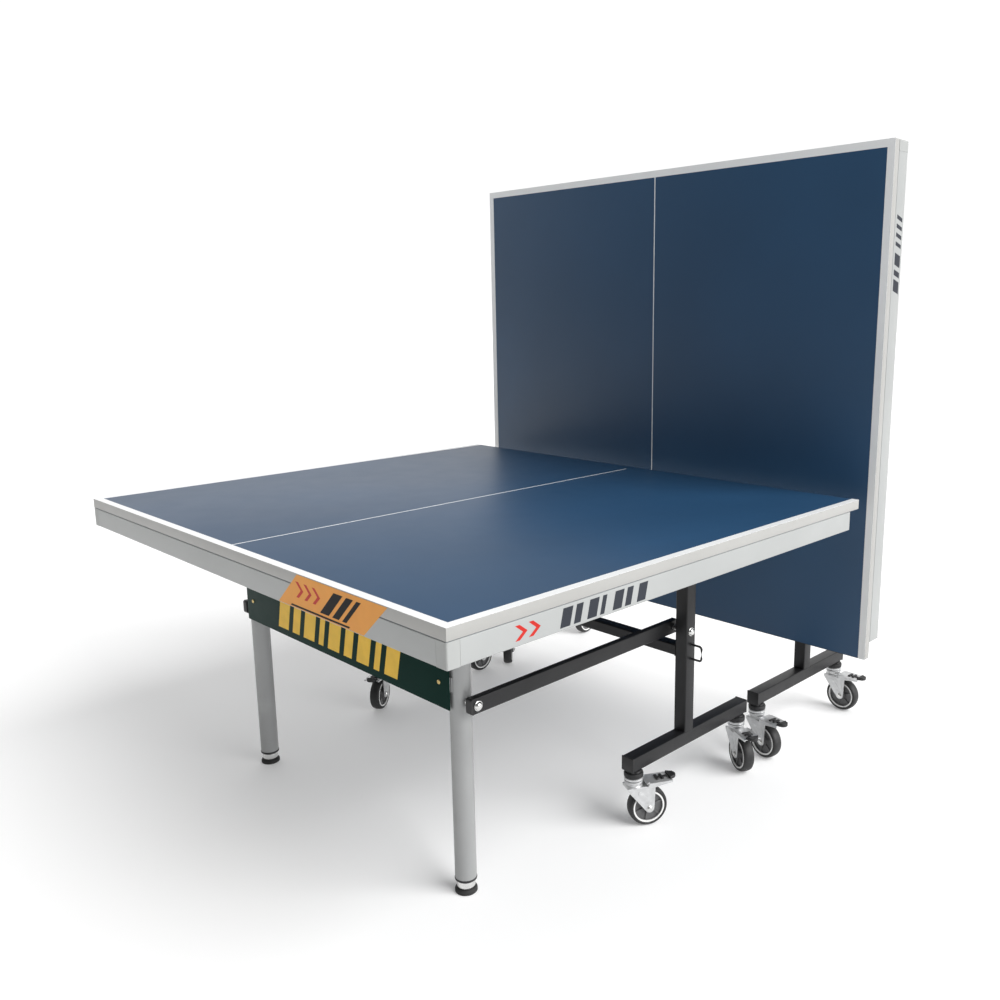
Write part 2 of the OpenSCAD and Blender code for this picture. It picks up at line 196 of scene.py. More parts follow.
MAT = {
    "board": surface("board blue", (0.013, 0.056, 0.126), 0.44, spread=0.05, blotch=2.5, grain=900, bump=0.04,
        rough_spread=0.03, gloss=0.46, wear=0.10),
    "backing": surface("board backing", (0.030, 0.036, 0.045), 0.62, spread=0.2, blotch=9, grain=500,
        bump=0.25, wear=0.4),
    "line": surface("line white", (0.86, 0.87, 0.87), 0.42, spread=0.02, grain=900, bump=0.05),
    "edge": surface("edge band", (0.385, 0.382, 0.368), 0.42, spread=0.03, grain=700, bump=0.06),
    "net_edge": surface("net edge band", (0.015, 0.016, 0.018), 0.5, spread=0.15, grain=700, bump=0.1),
    "apron": surface("apron grey", (0.372, 0.382, 0.378), 0.40, spread=0.03, grain=650, bump=0.14, wear=0.04),
    "cap": surface("corner cap", (0.370, 0.379, 0.372), 0.48, spread=0.03, grain=1200, bump=0.10),
    "frame": surface("frame black", (0.010, 0.010, 0.011), 0.38, spread=0.2, blotch=12, grain=800, bump=0.20,
        rough_spread=0.07, gloss=0.34, wear=0.9),
    "plug": surface("black plastic", (0.010, 0.010, 0.011), 0.50, spread=0.15, grain=1500, bump=0.12,
        wear=0.9),
    "leg": surface("leg silver", (0.32, 0.325, 0.325), 0.36, metal=0.25, spread=0.05, blotch=9, grain=1000,
        bump=0.12, wear=0.10),
    "banner": surface("banner green", (0.004, 0.026, 0.020), 0.38, spread=0.1, grain=700, bump=0.10,
        gloss=0.04),
    "gold": surface("gold print", (0.84, 0.52, 0.05), 0.45, spread=0.07, blotch=30, grain=900, bump=0.05,
        gloss=0.25),
    "orange": surface("orange print", (0.76, 0.32, 0.055), 0.45, spread=0.04, blotch=20, grain=900, bump=0.05,
        gloss=0.25),
    "ink": surface("dark print", (0.007, 0.007, 0.008), 0.5, spread=0.1, grain=900, bump=0.05, gloss=0.12),
    "slate": surface("slate print", (0.028, 0.032, 0.042), 0.5, spread=0.1, grain=900, bump=0.05, gloss=0.2),
    "red": surface("red print", (0.50, 0.020, 0.014), 0.45, spread=0.06, grain=900, bump=0.05, gloss=0.2),
    "zinc": surface("zinc plate", (0.60, 0.605, 0.61), 0.34, metal=0.7, spread=0.10, blotch=60, grain=1400,
        bump=0.10, rough_spread=0.10, wear=0.18),
    "bolt": surface("bright bolt", (0.70, 0.70, 0.69), 0.24, metal=1.0, spread=0.06, blotch=90, grain=1500,
        bump=0.06, rough_spread=0.08),
    "brass": surface("brass screw", (0.62, 0.47, 0.20), 0.34, metal=0.9, spread=0.08, blotch=120, grain=1500,
        bump=0.08),
    "pad": surface("pedal black", (0.012, 0.012, 0.013), 0.48, spread=0.15, grain=1500, bump=0.15, wear=1.4),
    "rubber": surface("rubber", (0.018, 0.018, 0.018), 0.72, spread=0.25, blotch=40, grain=1200, bump=0.3,
        wear=2.0),
    "tyre": surface("tyre tread", (0.014, 0.014, 0.0145), 0.55, spread=0.25, blotch=40, grain=900, bump=0.25,
        wear=2.6),
    "ring": surface("pale ring", (0.80, 0.80, 0.79), 0.5, spread=0.04, blotch=60, grain=1200, bump=0.08),
    "hub": surface("hub grey", (0.110, 0.110, 0.112), 0.48, spread=0.12, blotch=60, grain=1200, bump=0.15,
        wear=0.5),
}


# ---- mesh tools: each adds its shape to a bmesh, in the half's own frame ----
def merge(bm, other, matrix=None):
    """Moves the shape in other into bm."""
    if matrix is not None:
        other.transform(matrix)
    mesh = bpy.data.meshes.new("part")
    other.to_mesh(mesh)
    other.free()
    bm.from_mesh(mesh)
    bpy.data.meshes.remove(mesh)


def block(bm, lo, hi, r=0.001, seg=3, matrix=None):
    """Box from lo to hi with every edge rounded by r."""
    b = bmesh.new()
    bmesh.ops.create_cube(b, size=1.0)
    size = Vector(hi) - Vector(lo)
    mid = (Vector(hi) + Vector(lo)) / 2
    for v in b.verts:
        v.co = Vector((v.co.x * size.x, v.co.y * size.y, v.co.z * size.z)) + mid
    r = min(r, min(size) * 0.45)
    bmesh.ops.bevel(b, geom=b.edges[:], offset=r, segments=seg, profile=0.5, affect="EDGES")
    merge(bm, b, matrix)


def circle(r, seg):
    """Points of a full circle, each once."""
    angles = [2 * math.pi * i / seg for i in range(seg)]
    return [(r * math.cos(a), r * math.sin(a)) for a in angles]


def lathe(bm, profile, matrix=None, seg=64, loop=False):
    """Turns (radius, height) points about Z. An end on the axis closes to a point."""
    b = bmesh.new()
    rings = []
    for r, z in profile:
        if r < 1e-7:
            rings.append([b.verts.new((0, 0, z))])
        else:
            rings.append([b.verts.new((x, y, z)) for x, y in circle(r, seg)])
    pairs = list(zip(rings, rings[1:])) + ([(rings[-1], rings[0])] if loop else [])
    for low, high in pairs:
        for i in range(seg):
            j = (i + 1) % seg
            if len(low) == 1:
                b.faces.new((low[0], high[j], high[i]))
            elif len(high) == 1:
                b.faces.new((low[i], low[j], high[0]))
            else:
                b.faces.new((low[i], low[j], high[j], high[i]))
    bmesh.ops.recalc_face_normals(b, faces=b.faces)
    merge(bm, b, matrix)


def rod(bm, a, b, r, bevel=0.0006, seg=40):
    """Round bar from a to b with small chamfers."""
    a, b = Vector(a), Vector(b)
    length = (b - a).length
    bevel = min(bevel, r * 0.4, length * 0.3)
    m = T(a) @ (b - a).to_track_quat("Z", "Y").to_matrix().to_4x4()
    profile = [(0, 0), (r - bevel, 0), (r, bevel), (r, length - bevel), (r - bevel, length), (0, length)]
    lathe(bm, profile, m, seg)


def arc(x, z, r, a0, a1, step=15):
    """Points of an arc about (x, z), from angle a0 to a1 in degrees."""
    n = max(1, round(abs(a1 - a0) / step))
    angles = [math.radians(a0 + (a1 - a0) * i / n) for i in range(n + 1)]
    return [(x + r * math.cos(a), z + r * math.sin(a)) for a in angles]


def rounded(w, h, r):
    """Outline of a w by h rectangle with corners of radius r."""
    x, y = w / 2 - r, h / 2 - r
    corners = ((x, y, 0), (-x, y, 90), (-x, -y, 180), (x, -y, 270))
    return [point for cx, cy, a in corners for point in arc(cx, cy, r, a, a + 90, 18)]


def hexagon(r):
    return arc(0, 0, r, 0, 300, 60)


def prism(bm, outline, length, matrix=None, hole=None, chamfer=0.0):
    """Extrudes an outline along Z from 0 to length; hole is an inner outline of as many points.

    A chamfer shrinks the two ends about the local Z axis.
    """
    b = bmesh.new()

    def ring(points, z, k=1.0):
        return [b.verts.new((x * k, y * k, z)) for x, y in points]

    def wall(low, high):
        for i in range(len(low)):
            j = (i + 1) % len(low)
            b.faces.new((low[i], low[j], high[j], high[i]))

    if chamfer and not hole:
        k = 1 - chamfer / max(abs(c) for p in outline for c in p)
        levels = ((0, k), (chamfer, 1.0), (length - chamfer, 1.0), (length, k))
        rings = [ring(outline, z, scale) for z, scale in levels]
    else:
        rings = [ring(outline, 0), ring(outline, length)]
    for low, high in zip(rings, rings[1:]):
        wall(low, high)
    if hole:
        inner = [ring(hole, 0), ring(hole, length)]
        wall(inner[1], inner[0])
        wall(inner[0], rings[0])
        wall(rings[-1], inner[1])
    else:
        b.faces.new(rings[0][::-1])
        b.faces.new(rings[-1])
    bmesh.ops.recalc_face_normals(b, faces=b.faces)
    merge(bm, b, matrix)


# local Z of a prism laid along a row axis, with local X and Y on the other two
ALONG = {
    "X": Matrix(((0, 0, 1, 0), (1, 0, 0, 0), (0, 1, 0, 0), (0, 0, 0, 1))),
    "Y": Matrix(((0, 1, 0, 0), (0, 0, 1, 0), (1, 0, 0, 0), (0, 0, 0, 1))),
    "Z": Matrix.Identity(4),
}


def tube(bm, axis, lo, hi, r=0.003, wall=0.002):
    """Square tube with rounded corners filling the box lo..hi, open at both ends of axis."""
    k = "XYZ".index(axis)
    u, v = (k + 1) % 3, (k + 2) % 3
    w, h = hi[u] - lo[u], hi[v] - lo[v]
    mid = [(a + b) / 2 for a, b in zip(lo, hi)]
    mid[k] = lo[k]
    inner = rounded(w - 2 * wall, h - 2 * wall, max(r - wall, 0.0008))
    prism(bm, rounded(w, h, r), hi[k] - lo[k], T(mid) @ ALONG[axis], hole=inner)


def plate(bm, outline, thickness, matrix, bevel=0.0):
    """Flat piece with bevelled faces."""
    prism(bm, outline, thickness, matrix, chamfer=bevel)


def sweep(bm, path, r, seg=16):
    """Round wire along a path of points."""
    b = bmesh.new()
    rings = []
    for i, p in enumerate(path):
        before, after = path[max(i - 1, 0)], path[min(i + 1, len(path) - 1)]
        q = (Vector(after) - Vector(before)).to_track_quat("Z", "Y")
        rings.append([b.verts.new(Vector(p) + q @ Vector((x, y, 0))) for x, y in circle(r, seg)])
    for low, high in zip(rings, rings[1:]):
        for k in range(seg):
            j = (k + 1) % seg
            b.faces.new((low[k], low[j], high[j], high[k]))
    b.faces.new(rings[0][::-1])
    b.faces.new(rings[-1])
    bmesh.ops.recalc_face_normals(b, faces=b.faces)
    merge(bm, b)


SMOOTH = math.radians(32)  # folds sharper than this stay sharp


def add(name, mat, build, place, body, replaces=()):
    """Builds a piece with build(bm) in its own frame, puts it in place and seats it on its body."""
    bm = bmesh.new()
    build(bm)
    mesh = bpy.data.meshes.new(name)
    bm.to_mesh(mesh)
    bm.free()
    mesh.shade_smooth()
    mesh.set_sharp_from_angle(angle=SMOOTH)
    mesh.materials.append(MAT[mat])
    obj = bpy.data.objects.new(name, mesh)
    bpy.context.scene.collection.objects.link(obj)
    obj.matrix_world = place
    bpy.context.view_layer.update()
    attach(obj, body)
    if replaces:
        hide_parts(*replaces)


# ---- tops ----
PAINT_EDGE = 0.0016  # the board's paint stops this far inside its rim


def build_board(bm):
    lo = (-L + PAINT_EDGE, -W2 + PAINT_EDGE, BOARD_Z + 0.0004)
    block(bm, lo, (-0.0012, W2 - PAINT_EDGE, TOP), 0.0004, 2)


def build_backing(bm):
    block(bm, (-L + APRON_T, -W2 + APRON_T, BOARD_Z), (-0.002, W2 - APRON_T, BOARD_Z + 0.0006), 0.0002, 1)


def build_edges(bm):
    z0, z1 = BOARD_Z + 0.0012, TOP
    for s in (-1, 1):
        y = sorted((s * (W2 - INSET), s * (W2 - PAINT_EDGE)))
        block(bm, (-L + INSET, y[0], z0), (-0.0005, y[1], z1), 0.0004, 2)
    # the end band stops just short of the side bands' outer faces
    y = W2 - INSET - 0.0001
    block(bm, (-L + INSET, -y, z0), (-L + PAINT_EDGE, y, z1), 0.0004, 2)


def build_net_edge(bm):
    block(bm, (-0.0012, -W2 + 0.001, BOARD_Z + 0.0005), (0, W2 - 0.001, TOP), 0.0003, 2)


SHEET = 0.0015  # wall of the thin tubes
SKIN = 0.0002  # the apron's outer faces stand this far inside the half's edge


def build_apron(bm):
    butt = CORNER + 0.0004
    for s in (-1, 1):
        y = sorted((s * (W2 - SKIN), s * (W2 - APRON_T)))
        tube(bm, "X", (-L + butt, y[0], APRON_Z), (-APRON_STOP, y[1], BOARD_Z), 0.0022, SHEET)
    lo = (-L + SKIN, -W2 + butt, APRON_Z)
    tube(bm, "Y", lo, (-L + APRON_T, W2 - butt, BOARD_Z), 0.0022, SHEET)


def build_caps(bm):
    half, r = CORNER / 2, 0.0035
    for s in (-1, 1):
        # rounded corner piece: an L outline about the corner's middle, drawn upwards
        outline = arc(SKIN + r - half, half - SKIN - r, r, 180, 90)
        outline += [(half, half - SKIN), (half, half - APRON_T), (APRON_T - half, half - APRON_T)]
        outline += [(APRON_T - half, -half), (SKIN - half, -half)]
        m = T((-L + half, s * (W2 - half), APRON_Z))
        plate(bm, [(x, s * y) for x, y in outline], BOARD_Z - APRON_Z, m, 0.0007)
        # plug in the net end of the side rail, with its lip
        y = sorted((s * (W2 - SKIN), s * (W2 - APRON_T)))
        block(bm, (-APRON_STOP, y[0], APRON_Z), (-APRON_STOP + 0.0025, y[1], BOARD_Z), 0.0009, 2)


CROSS_RAILS = (-1.230, -0.620, -0.072)  # where each starts along X
RAIL, RUNNER_Y = 0.025, 0.300


def build_underframe(bm):
    z = (BOARD_Z - RAIL, BOARD_Z)
    for s in (-1, 1):
        y = (s * RUNNER_Y - RAIL / 2, s * RUNNER_Y + RAIL / 2)
        for a, b in zip(CROSS_RAILS, CROSS_RAILS[1:]):
            tube(bm, "X", (a + RAIL, y[0], z[0]), (b, y[1], z[1]), 0.002, SHEET)
    # weld beads on both sides of each cross rail, but for the net side of the last
    beads = [x + side for x in CROSS_RAILS for side in (-0.001, RAIL + 0.001)][:-1]
    for x in CROSS_RAILS:
        tube(bm, "Y", (x, -W2 + APRON_T, z[0]), (x + RAIL, W2 - APRON_T, z[1]), 0.002, SHEET)
    for s in (-1, 1):
        y = s * RUNNER_Y
        for x in beads:
            lo = (x - 0.0012, y - 0.012, z[0] + 0.001)
            block(bm, lo, (x + 0.0012, y + 0.012, z[0] + 0.004), 0.001, 2)


def build_frame_screws(bm):
    head = [(0, -0.0022), (0.003, -0.002), (0.0048, -0.0008), (0.005, 0), (0, 0)]
    for x in CROSS_RAILS:
        for y in (-0.66, -0.45, -0.12, 0.12, 0.45, 0.66):
            lathe(bm, head, T((x + RAIL / 2, y, BOARD_Z - RAIL)), 24)


# each top pivot: its (x, z) and the distance of its bracket from the middle
PINS = ((PIVOT, FRAME_Y), (LEG_PIVOT, LEG_Y))


def build_clevises(bm):
    """Two cheeks and their feet under the board at each pivot."""
    half, cheek = 0.016, 0.004
    for s in (-1, 1):
        for (x, z), away in PINS:
            outline = [(-half, BOARD_Z - z), (-half, 0.0)] + arc(0, 0, 0.012, 180, 360)
            outline += [(half, 0.0), (half, BOARD_Z - z)]
            for t in (-1, 1):
                y = s * away + t * 0.0065
                plate(bm, outline, cheek, T((x, y + cheek / 2, z)) @ turn(90, "X"), 0.0004)
                lo, hi = sorted((y + t * 0.002, y + t * 0.020))
                block(bm, (x - half, lo, BOARD_Z - 0.003), (x + half, hi, BOARD_Z), 0.0006, 2)


def build_pins(bm):
    washer = [(0.0062, 0), (0.0095, 0), (0.0095, 0.0012), (0.0062, 0.0012)]
    for s in (-1, 1):
        for (x, z), away in PINS:
            y = s * away
            rod(bm, (x, y - 0.0118, z), (x, y + 0.0118, z), 0.006, 0.0012)
            for t in (-1, 1):
                lathe(bm, washer, T((x, y + t * 0.0088, z)) @ turn(-90 * t, "X"), 32, loop=True)


# ---- prints: plain slanted bars and chevrons, in place of the photo's marks ----
PRINT = 0.0002  # thickness of a print
INK = 0.00008  # of a second colour on top of it

# faces: local X along the face (left to right seen from outside), local Y up, local Z outwards
FACE = 0.0003  # prints start this far inside the half's edge and are built up outwards
END_FACE = Matrix(((0, 0, -1, -L + FACE), (-1, 0, 0, 0), (0, 1, 0, 0), (0, 0, 0, 1)))
END_TOP = END_FACE @ T((0, 0, PRINT))
SIDE_FACE = {
    -1: Matrix(((1, 0, 0, 0), (0, 0, -1, -W2 + FACE), (0, 1, 0, 0), (0, 0, 0, 1))),
    1: Matrix(((-1, 0, 0, 0), (0, 0, 1, W2 - FACE), (0, 1, 0, 0), (0, 0, 0, 1))),
}
BANNER_FACE = Matrix(((0, 0, -1, BANNER[0]), (-1, 0, 0, 0), (0, 1, 0, 0), (0, 0, 0, 1)))


def slanted(bm, x0, x1, z0, z1, lean, matrix, depth=PRINT):
    """Leaning bar from x0 to x1, drawn in a face's local frame."""
    outline = [(x0, z0), (x1, z0), (x1 + lean, z1), (x0 + lean, z1)]
    cx, cz = (x0 + x1 + lean) / 2, (z0 + z1) / 2
    plate(bm, [(x - cx, z - cz) for x, z in outline], depth, matrix @ T((cx, cz, 0)))


def build_end_label(bm):
    """Slanted field over the end's edge band and apron."""
    slanted(bm, 0.228, 0.527, APRON_Z + 0.002, TOP - 0.002, 0.0765, END_FACE)


def build_end_bars(bm):
    """Three bars over a thin underline."""
    z = APRON_Z
    for x, w in ((0.383, 0.030), (0.425, 0.022), (0.458, 0.014)):
        slanted(bm, x, x + w, z + 0.0123, z + 0.0613, 0.051, END_TOP, INK)
    slanted(bm, 0.275, 0.480, z + 0.0038, z + 0.0078, 0.004, END_TOP, INK)


def chevron(back, arm, tip, notch, half):
    """Arrow outline of half height half: from its back to the arms' outer corners, the tip and the notch."""
    return [(back, -half), (arm, -half), (tip, 0.0), (arm, half), (back, half), (notch, 0.0)]


def build_end_chevrons(bm):
    outline = chevron(-0.014, -0.004, 0.014, 0.004, 0.016)
    for k in range(3):
        plate(bm, outline, INK, END_TOP @ T((0.312 + 0.030 * k, APRON_Z + 0.0403, 0)))


def build_side_print(bm):
    """A long row of bars on one side, a short one on the other."""
    z, lean = APRON_Z, 0.009
    for k, w in enumerate((0.026, 0.018, 0.026, 0.012, 0.026, 0.018, 0.026)):
        x = 0.258 - L + 0.0355 * k
        slanted(bm, x, x + w, z + 0.0058, z + 0.0418, lean, SIDE_FACE[-1])
    wide = [(L - 0.380, 0.030), (L - 0.340, 0.014), (L - 0.314, 0.030)]
    thin = [(L - 0.266 + 0.022 * k, 0.010) for k in range(4)]
    for x, w in wide + thin:
        slanted(bm, x, x + w, z + 0.0088, z + 0.0388, lean, SIDE_FACE[1])


def build_side_chevrons(bm):
    outline = chevron(-0.016, -0.005, 0.013, 0.002, 0.014)
    for k in range(2):
        plate(bm, outline, PRINT, SIDE_FACE[-1] @ T((0.165 - L + 0.032 * k, APRON_Z + 0.0243, 0)))


def build_banner_print(bm):
    """A row of bars of three widths, with even gaps."""
    broad, middling, narrow, gap = 0.050, 0.034, 0.022, 0.020
    x, z = -0.270, BANNER[3] + 0.018
    for w in (broad, middling, broad, narrow) * 2 + (broad,):
        slanted(bm, x, x + w, z, z + 0.070, 0.016, BANNER_FACE, 0.00015)
        x += w + gap


# ---- trolley ----
def lug(bm, pin, y, edge, top):
    """Ear on the head of a tube: from x = edge at its top to a rounded eye about the pin."""
    x, z = pin
    thick = 0.008
    outline = [(edge - x, top - z), (0.004, top - z)] + arc(0, 0, 0.011, -45, 150)
    plate(bm, outline, thick, T((x, y + thick / 2, z)) @ turn(90, "X"), 0.0006)


def build_side_frames(bm):
    h = TUBE / 2
    closed = POST_TOP - 0.003
    for s in (-1, 1):
        y = s * FRAME_Y
        tube(bm, "X", (BEAM[0] + 0.004, y - h, BEAM_Z), (BEAM[1] - 0.004, y + h, BEAM_Z + TUBE))
        tube(bm, "Z", (POST_X - h, y - h, BEAM_Z + TUBE), (POST_X + h, y + h, closed))
        block(bm, (POST_X - h, y - h, closed), (POST_X + h, y + h, POST_TOP), 0.001, 2)
        # weld bead round the foot of the upright
        bead = rounded(TUBE + 0.004, TUBE - 0.001, 0.004)
        plate(bm, bead, 0.0025, T((POST_X, y, BEAM_Z + TUBE - 0.0004)), 0.0012)
        lug(bm, PIVOT, y, POST_X - 0.008, POST_TOP)


def build_crossbar(bm):
    y = FRAME_Y - TUBE / 2
    half, weld = CROSS_HALF, 0.002
    tube(bm, "Y", (POST_X - half, -y, CROSS_Z[0]), (POST_X + half, y, CROSS_Z[1]))
    bead = rounded(0.032, 0.038, 0.004)
    for s in (-1, 1):
        m = T((POST_X, s * y - (weld if s > 0 else 0), sum(CROSS_Z) / 2)) @ ALONG["Y"]
        plate(bm, bead, weld, m, 0.0009)


def build_beam_caps(bm):
    h, cap = TUBE / 2 + 0.0006, 0.0044
    # moulded collar under the beam: a broad disc below a short neck, with a flat nut let into it
    z0, z1 = RACE_Z + 0.009, BEAM_Z
    collar = [(0, z0), (0.0222, z0), (0.0238, z0 + 0.0015), (0.0242, z0 + 0.0090), (0.0230, z0 + 0.0122)]
    collar += [(0.0190, z0 + 0.0132), (0.0178, z0 + 0.0150), (0.0178, z1 - 0.0015), (0.0190, z1), (0, z1)]
    for s in (-1, 1):
        y = s * FRAME_Y
        for x in (BEAM[0], BEAM[1] - cap):
            block(bm, (x, y - h, BEAM_Z - 0.0006), (x + cap, y + h, BEAM_Z + TUBE + 0.0006), 0.0016, 3)
        for x in CASTER_X:
            lathe(bm, collar, T((x, y, 0)), 72)
            plate(bm, hexagon(0.0205), 0.0035, T((x, y, z0 + 0.0125)), 0.0006)


def build_races(bm):
    z = RACE_Z
    race = [(0, z), (0.0200, z), (0.0216, z + 0.0008), (0.0234, z + 0.0022), (0.0238, z + 0.0050)]
    race += [(0.0230, z + 0.0074), (0.0205, z + 0.0088), (0, z + 0.009)]
    for s in (-1, 1):
        for x in CASTER_X:
            lathe(bm, race, T((x, s * FRAME_Y, 0)), 72)


def dome(bm, x, y, z, s, r=0.0092, h=0.0052):
    """Washer and rounded head on a face whose outward normal is s along Y."""
    m = T((x, y, z)) @ turn(-90 * s, "X")
    washer, head = 0.0015, 0.0026
    lathe(bm, [(0, 0), (r + 0.0018, 0), (r + 0.0018, 0.0011), (r + 0.0012, washer), (0, washer)], m, 40)
    profile = [(0, washer), (r, washer), (r, head), (r * 0.86, head + h * 0.45)]
    lathe(bm, profile + [(r * 0.55, head + h * 0.8), (0, head + h)], m, 40)


def hexnut(bm, x, y, z, s, r=0.0085, h=0.0065, tip=0.0036):
    """Nut on such a face, with the end of its bolt standing out by tip."""
    m = T((x, y, z)) @ turn(-90 * s, "X")
    plate(bm, hexagon(r), h, m, 0.0007)
    lathe(bm, [(0, h), (0.0045, h), (0.0045, h + tip - 0.0006), (0.0038, h + tip), (0, h + tip)], m, 24)


LINK_OUT, LINK_IN = LINK_Y + LINK_T / 2, LINK_Y - LINK_T / 2
BOLT_R, SLEEVE_R = 0.005, 0.009


def build_trolley_bolts(bm):
    x, z = LINK_REAR
    inner, outer = FRAME_Y - TUBE / 2, FRAME_Y + TUBE / 2
    for s in (-1, 1):
        dome(bm, x, s * outer, z, s)
        rod(bm, (x, s * (LINK_OUT + 0.0004), z), (x, s * inner, z), SLEEVE_R, 0.001)
        rod(bm, (x, s * (LINK_IN - 0.001), z), (x, s * (LINK_OUT + 0.001), z), BOLT_R)
        hexnut(bm, x, s * (LINK_IN - 0.0006), z, -s)


def build_loops(bm):
    """A bent rod welded to the outside of each upright."""
    y0, y1, r = FRAME_Y + TUBE / 2 - 0.001, FRAME_Y + TUBE / 2 + 0.033, 0.007
    z0, z1 = LOOP_Z
    path = [(y0, z1)] + arc(y1 - r, z1 - r, r, 90, 0) + arc(y1 - r, z0 + r, r, 0, -90) + [(y0, z0)]
    weld = [(0.0026, 0), (0.0048, 0), (0.0040, 0.0016), (0.0026, 0.0022)]
    for s in (-1, 1):
        sweep(bm, [(POST_X, s * y, z) for y, z in path], LOOP_R)
        for z in (z0, z1):
            lathe(bm, weld, T((POST_X, s * (y0 + 0.001), z)) @ turn(-90 * s, "X"), 24, loop=True)


# ---- legs ----
def build_leg_tubes(bm):
    r, closed = LEG_R, LEG_TOP - 0.002
    leg = [(0, closed), (r - SHEET, closed), (r - SHEET, LEG_FOOT), (r, LEG_FOOT)]
    leg += [(r, LEG_TOP - 0.001), (r - 0.001, LEG_TOP), (0, LEG_TOP)]
    for s in (-1, 1):
        y = s * LEG_Y
        lathe(bm, leg, T((LEG_X, y, 0)), 96)
        lug(bm, LEG_PIVOT, y, LEG_X - 0.010, LEG_TOP)


def build_leg_rings(bm):
    ring = [(0.008, 0.0303), (0.0232, 0.0303), (0.0246, 0.0312), (0.0250, 0.0330), (0.0247, 0.0350)]
    ring += [(0.0242, LEG_FOOT), (0.008, LEG_FOOT)]
    for s in (-1, 1):
        lathe(bm, ring, T((LEG_X, s * LEG_Y, 0)), 72, loop=True)


def build_leg_bolts(bm):
    x, z = LINK_FRONT
    inner, outer = LEG_Y - LEG_R, LEG_Y + LEG_R
    for s in (-1, 1):
        dome(bm, x, s * (LINK_OUT + 0.0006), z, s)
        rod(bm, (x, s * (outer - 0.0004), z), (x, s * (LINK_IN - 0.0004), z), SLEEVE_R, 0.001)
        rod(bm, (x, s * (LINK_IN - 0.001), z), (x, s * (LINK_OUT + 0.001), z), BOLT_R)
        hexnut(bm, x, s * inner, z, -s)


def build_tabs(bm):
    """Each tab lies behind the banner and turns back to the leg."""
    x, half = BANNER[1], 0.016
    z0, z1 = SCREW_Z - half, SCREW_Z + half
    for s in (-1, 1):
        y = s * LEG_Y
        lo, hi = sorted((y, y - s * 0.044))
        block(bm, (x, lo, z0), (x + 0.004, hi, z1), 0.0008, 2)
        block(bm, (x + 0.003, y - 0.004, z0), (LEG_X - LEG_R + 0.001, y + 0.004, z1), 0.0006, 2)


def build_banner(bm):
    x0, x1, y, z0, z1 = BANNER
    block(bm, (x0, -y, z0), (x1, y, z1), 0.0011, 3)


def build_banner_screws(bm):
    screw = [(0, 0), (0.0052, 0), (0.0050, 0.0009), (0.0038, 0.0020), (0.0016, 0.0023)]
    screw += [(0.0012, 0.0012), (0, 0.0012)]
    for s in (-1, 1):
        lathe(bm, screw, T((BANNER[0], s * SCREW_Y, SCREW_Z)) @ turn(-90, "Y"), 32)


# ---- links and feet, one piece for each side s ----
LINK_END = 0.012  # the link's tube runs on past each bolt


def link_place(s):
    """A link's own frame, X from its leg bolt to its upright bolt, and the length between them."""
    run, rise = LINK_REAR[0] - LINK_FRONT[0], LINK_REAR[1] - LINK_FRONT[1]
    slope = math.degrees(math.atan2(rise, run))
    return T((LINK_FRONT[0], s * LINK_Y, LINK_FRONT[1])) @ turn(-slope, "Y"), math.hypot(run, rise)


def build_link(bm, s):
    m, length = link_place(s)
    outline = rounded(LINK_T, LINK_H, 0.0028)
    hole = rounded(LINK_T - 2 * SHEET, LINK_H - 2 * SHEET, 0.0014)
    prism(bm, outline, length + 2 * LINK_END, m @ T((-LINK_END, 0, 0)) @ ALONG["X"], hole=hole)


def build_link_caps(bm, s):
    m, length = link_place(s)
    r, h, depth = 0.0060, LINK_H / 2, 0.0062
    outline = [(0, -h)] + arc(depth - r, r - h, r, -90, 0) + arc(depth - r, h - r, r, 0, 90) + [(0, h)]
    for x, way in ((-LINK_END, -1), (length + LINK_END, 1)):
        cap = [(way * (px - depth / 2), pz) for px, pz in outline]
        seat = m @ T((x + way * depth / 2, LINK_T / 2, 0)) @ turn(90, "X")
        plate(bm, cap, LINK_T, seat, 0.0008)


def build_foot_base(bm, s):
    base = [(0, 0), (0.0238, 0), (0.0250, 0.0012), (0.0250, 0.0065), (0.0240, 0.0088), (0.0212, 0.0108)]
    lathe(bm, base + [(0, 0.0112)], T((LEG_X, s * LEG_Y, 0)), 72)


def build_foot_nut(bm, s):
    """The adjusting collar and the stem that runs up into the leg."""
    collar = [(0, 0.0108), (0.0192, 0.0110), (0.0204, 0.0126), (0.0209, 0.0180), (0.0210, 0.0262)]
    collar += [(0.0206, 0.0280), (0.0194, 0.0292), (0.0052, 0.0295)]
    stem = [(0.0050, 0.0298), (0.0050, 0.0540), (0.0042, 0.0550), (0, 0.0550)]
    lathe(bm, collar + stem, T((LEG_X, s * LEG_Y, 0)), 72)


# ---- casters, in the caster's own frame: swivel axis Z, trail along +X ----
CROWN = 2 * WHEEL_R + 0.004
CHEEK_Y = WHEEL_W / 2 + 0.00475
PEDAL_X, PEDAL_Z = TRAIL + 0.002, CROWN + 0.008
ARM_Y = CHEEK_Y + 0.00185
PLATE_Z = PEDAL_Z + 0.003  # underside of the lever's plate
LEVER_TIP = 0.0950
WHEEL = T((TRAIL, 0, WHEEL_R)) @ turn(90, "X")


def upright(bm, outline, y, t, bevel):
    """Plate of thickness t standing in the XZ plane, centred at y."""
    cx = sum(x for x, _ in outline) / len(outline)
    cz = sum(z for _, z in outline) / len(outline)
    plate(bm, [(x - cx, z - cz) for x, z in outline], t, T((cx, y + t / 2, cz)) @ turn(90, "X"), bevel)


